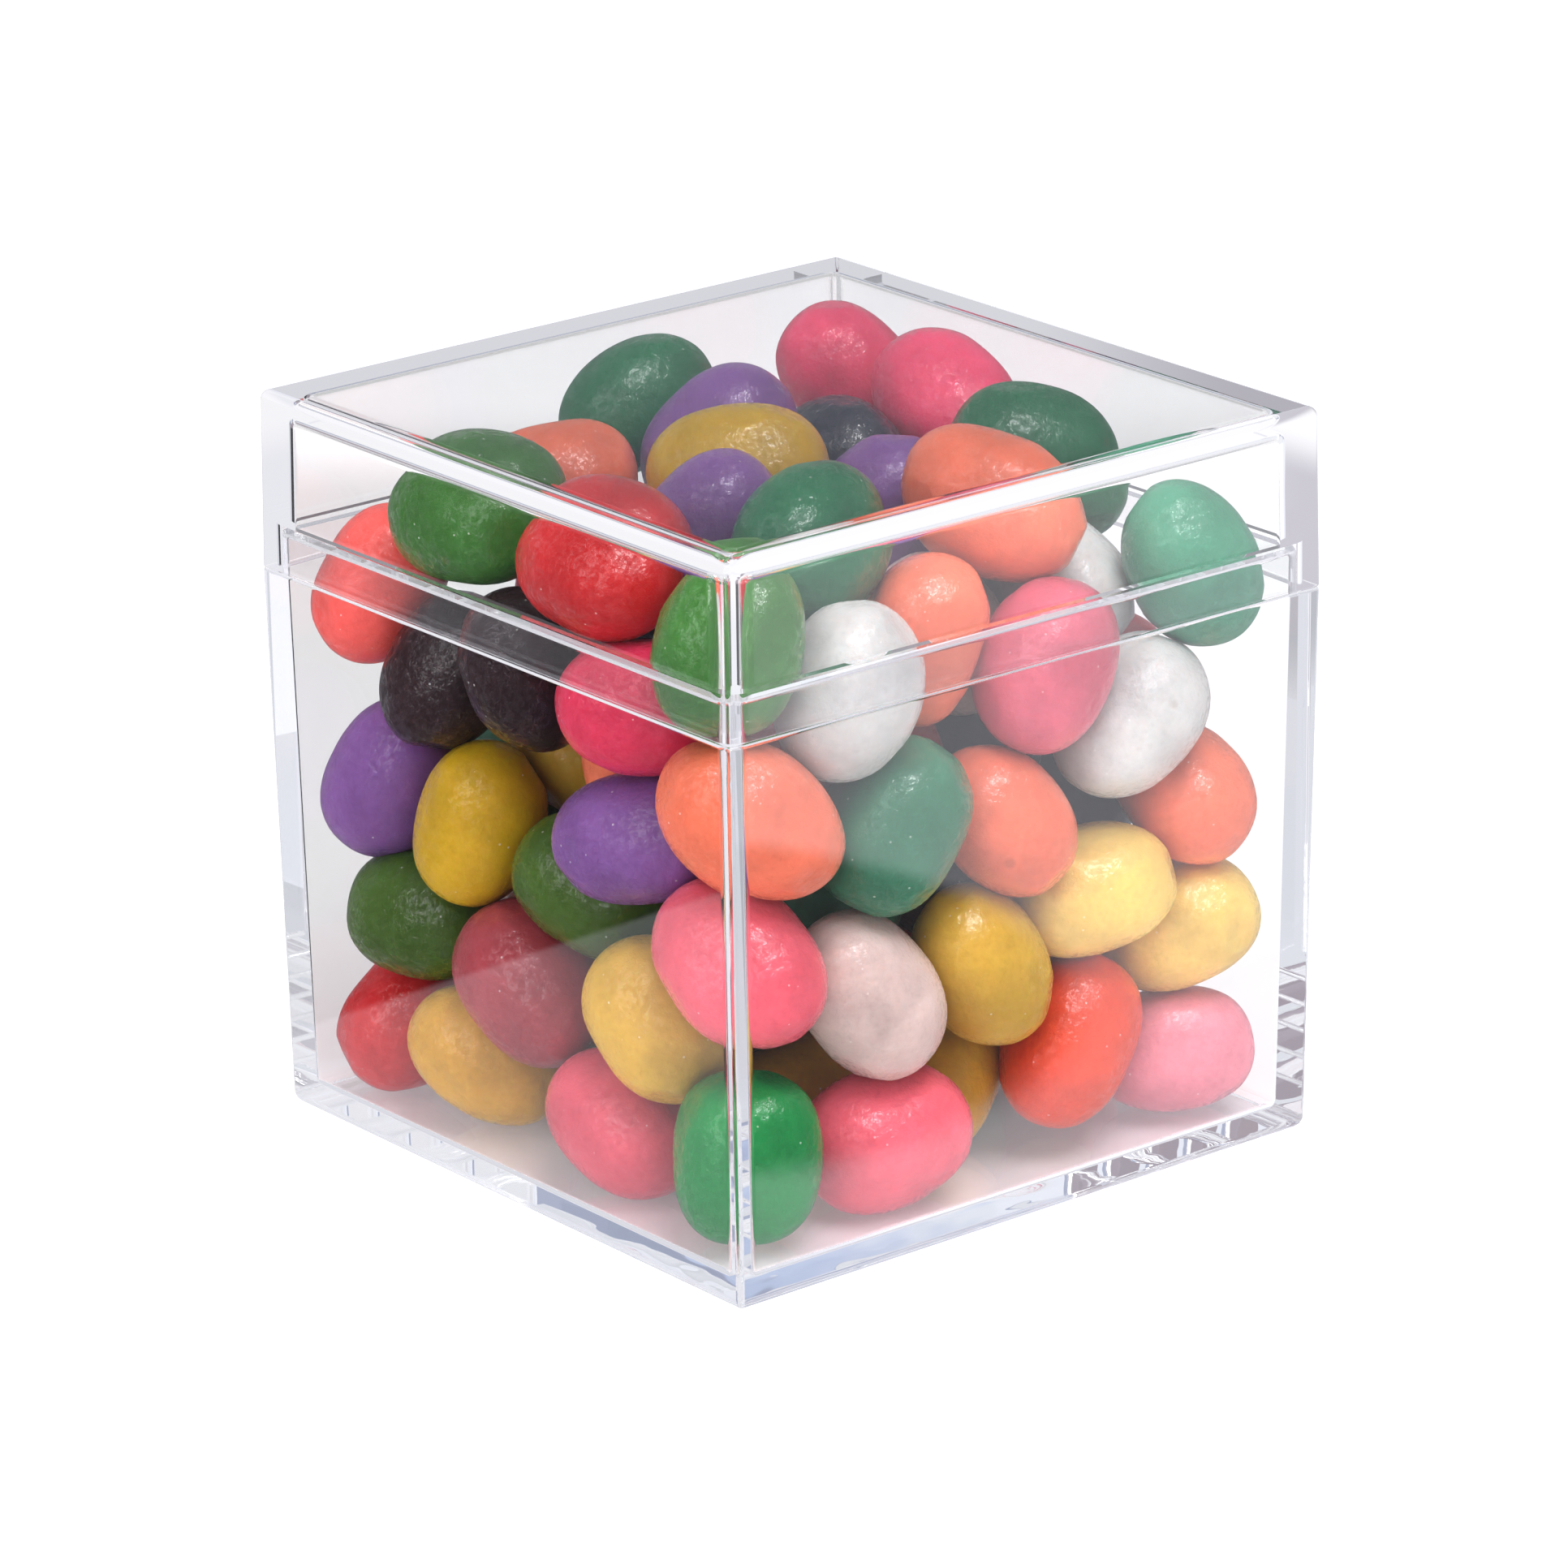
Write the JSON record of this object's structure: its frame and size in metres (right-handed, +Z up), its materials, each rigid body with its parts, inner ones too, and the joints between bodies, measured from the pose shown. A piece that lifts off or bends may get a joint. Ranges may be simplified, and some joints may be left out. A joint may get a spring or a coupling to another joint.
{
  "type": "candy box",
  "caption": "Clear square box with a lift-off lid that laps over a lip on the base, filled with loose jelly beans of mixed colours.",
  "frame": {"origin": "middle of the base's underside", "axes": "+Z up, the way the lid lifts off; X and Y square to the side walls"},
  "size_m": [0.0754, 0.0754, 0.0767],
  "materials": {
    "clear_plastic": "clear, polished",
    "jelly_beans_black": "glazed sugar shell",
    "jelly_beans_coral": "glazed sugar shell",
    "jelly_beans_crimson": "glazed sugar shell",
    "jelly_beans_green": "glazed sugar shell",
    "jelly_beans_mint": "glazed sugar shell",
    "jelly_beans_pink": "glazed sugar shell",
    "jelly_beans_purple": "glazed sugar shell",
    "jelly_beans_red": "glazed sugar shell",
    "jelly_beans_white": "glazed sugar shell",
    "jelly_beans_yellow": "glazed sugar shell"
  },
  "bodies": {
    "box": {"base": "clear_plastic", "jelly_beans_black": "jelly_beans_black", "jelly_beans_coral": "jelly_beans_coral", "jelly_beans_crimson": "jelly_beans_crimson", "jelly_beans_green": "jelly_beans_green", "jelly_beans_mint": "jelly_beans_mint", "jelly_beans_pink": "jelly_beans_pink", "jelly_beans_purple": "jelly_beans_purple", "jelly_beans_red": "jelly_beans_red", "jelly_beans_white": "jelly_beans_white", "jelly_beans_yellow": "jelly_beans_yellow"},
    "lid": {"lid": "clear_plastic"}
  },
  "joints": [
    {"name": "lid_lift", "type": "slide", "parent": "box", "child": "lid", "axis": [0, 0, 1], "range_m": [0, 0.035]}
  ]
}
